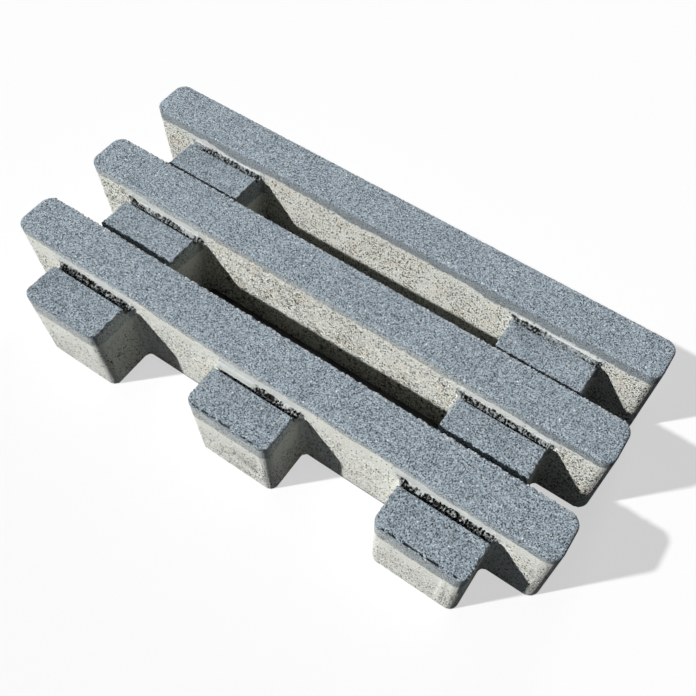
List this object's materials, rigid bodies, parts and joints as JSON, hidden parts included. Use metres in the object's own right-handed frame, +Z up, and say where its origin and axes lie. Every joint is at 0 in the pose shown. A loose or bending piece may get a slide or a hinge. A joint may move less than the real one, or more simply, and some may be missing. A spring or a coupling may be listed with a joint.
{
  "type": "concrete grass paver",
  "caption": "Pressed concrete paving unit of parallel rails joined by low bridge blocks, with spacer nubs in front and open slots for soil and grass.",
  "frame": {"origin": "middle of the outer box, on the bed face that the paver lies on", "axes": "+X along the rails, +Y across them from the nubs to the plain back face, +Z up to the rail tops"},
  "size_m": [0.6, 0.296, 0.11],
  "materials": {
    "concrete": "matte pressed concrete, grey face mix over a beige core mix"
  },
  "bodies": {
    "root": {"grass_paver": "concrete"}
  },
  "joints": []
}
